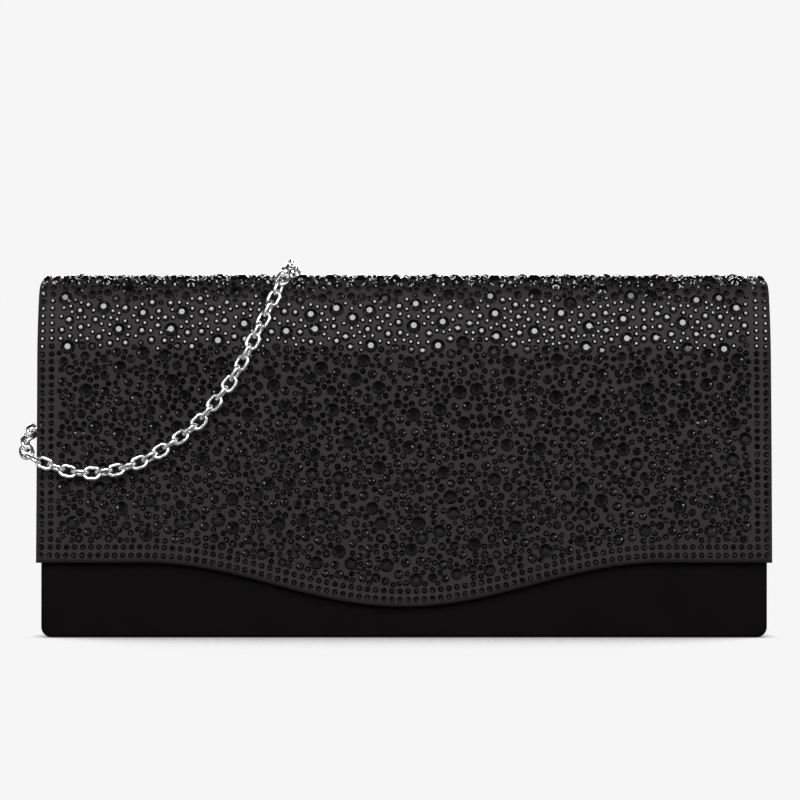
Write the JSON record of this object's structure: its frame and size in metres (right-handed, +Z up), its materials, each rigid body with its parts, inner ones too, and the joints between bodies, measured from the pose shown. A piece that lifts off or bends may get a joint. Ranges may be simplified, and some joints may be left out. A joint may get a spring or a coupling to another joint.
{
  "type": "evening bag",
  "caption": "Slim box evening bag with a full-width stone-covered flap, satin body and a fine metal chain on two rings.",
  "frame": {"origin": "under the middle of the bag, on the surface that it stands on", "axes": "+X to the right seen from the front, +Y from the front to the back, +Z up"},
  "size_m": [0.2603, 0.0851, 0.1296],
  "materials": {
    "satin": "smooth black satin, low sheen",
    "stones": "faceted jet black stones, polished",
    "lining": "black woven lining",
    "board": "grey-brown stiffening board",
    "foam": "thin off-white padding",
    "silver": "bright silver-coloured plating",
    "magnet": "plain plated magnet and plates",
    "ribbon": "black satin ribbon"
  },
  "bodies": {
    "bag": {"front_satin": "satin", "front_board": "board", "front_plate": "magnet", "front_lining": "lining", "mouth_binding": "satin", "back_satin": "satin", "back_board": "board", "back_lining": "lining", "pocket_panel": "lining", "pocket_hem": "satin", "base_satin": "satin", "base_board": "board", "base_lining": "lining", "gusset_left": "satin", "gusset_right": "satin", "gusset_lining_left": "lining", "gusset_lining_right": "lining", "ring_tab_left": "satin", "ring_tab_right": "satin", "chain_lead": "silver", "chain_tail": "silver", "chain_return": "silver", "chain_hank": "silver", "chain_tie": "ribbon"},
    "flap": {"flap_stones": "stones", "flap_satin": "satin", "flap_foam": "foam", "flap_board": "board", "flap_lining": "lining", "flap_edging": "satin", "flap_washer": "magnet", "flap_magnet": "magnet", "chain_drape": "silver"},
    "ring_left": {"ring_left": "silver"},
    "clasp_left": {"clasp_left": "silver"},
    "gate_left": {"clasp_gate_left": "silver"},
    "ring_right": {"ring_right": "silver"},
    "clasp_right": {"clasp_right": "silver"},
    "gate_right": {"clasp_gate_right": "silver"}
  },
  "joints": [
    {"name": "flap_hinge", "type": "hinge", "parent": "bag", "child": "flap", "pos_m": [0, 0.022, 0.1135], "axis": [-1, 0, 0], "range_deg": [0, 105], "deforming": ["chain_lead", "chain_tail"]},
    {"name": "ring_left_swing", "type": "hinge", "parent": "bag", "child": "ring_left", "pos_m": [-0.1194, 0.00295, 0.104], "axis": [0, 1, 0], "range_deg": [0, 35]},
    {"name": "clasp_left_swing", "type": "hinge", "parent": "ring_left", "child": "clasp_left", "pos_m": [-0.1194, 0.00295, 0.0955], "axis": [0, 1, 0], "range_deg": [-58, 0]},
    {"name": "clasp_left_gate", "type": "hinge", "parent": "clasp_left", "child": "gate_left", "pos_m": [-0.1226, 0.00295, 0.0883], "axis": [0, 1, 0], "range_deg": [0, 22], "stiffness_Nm_per_rad": 0.002},
    {"name": "ring_right_swing", "type": "hinge", "parent": "bag", "child": "ring_right", "pos_m": [0.1194, 0.00295, 0.104], "axis": [0, -1, 0], "range_deg": [0, 35]},
    {"name": "clasp_right_swing", "type": "hinge", "parent": "ring_right", "child": "clasp_right", "pos_m": [0.1194, 0.00295, 0.0955], "axis": [0, -1, 0], "range_deg": [-58, 0]},
    {"name": "clasp_right_gate", "type": "hinge", "parent": "clasp_right", "child": "gate_right", "pos_m": [0.1226, 0.00295, 0.0883], "axis": [0, -1, 0], "range_deg": [0, 22], "stiffness_Nm_per_rad": 0.002}
  ],
  "couplings": [
    {"joint": "clasp_left_swing", "follows": "ring_left_swing", "ratio": -1.656},
    {"joint": "clasp_right_swing", "follows": "ring_right_swing", "ratio": -1.656}
  ]
}
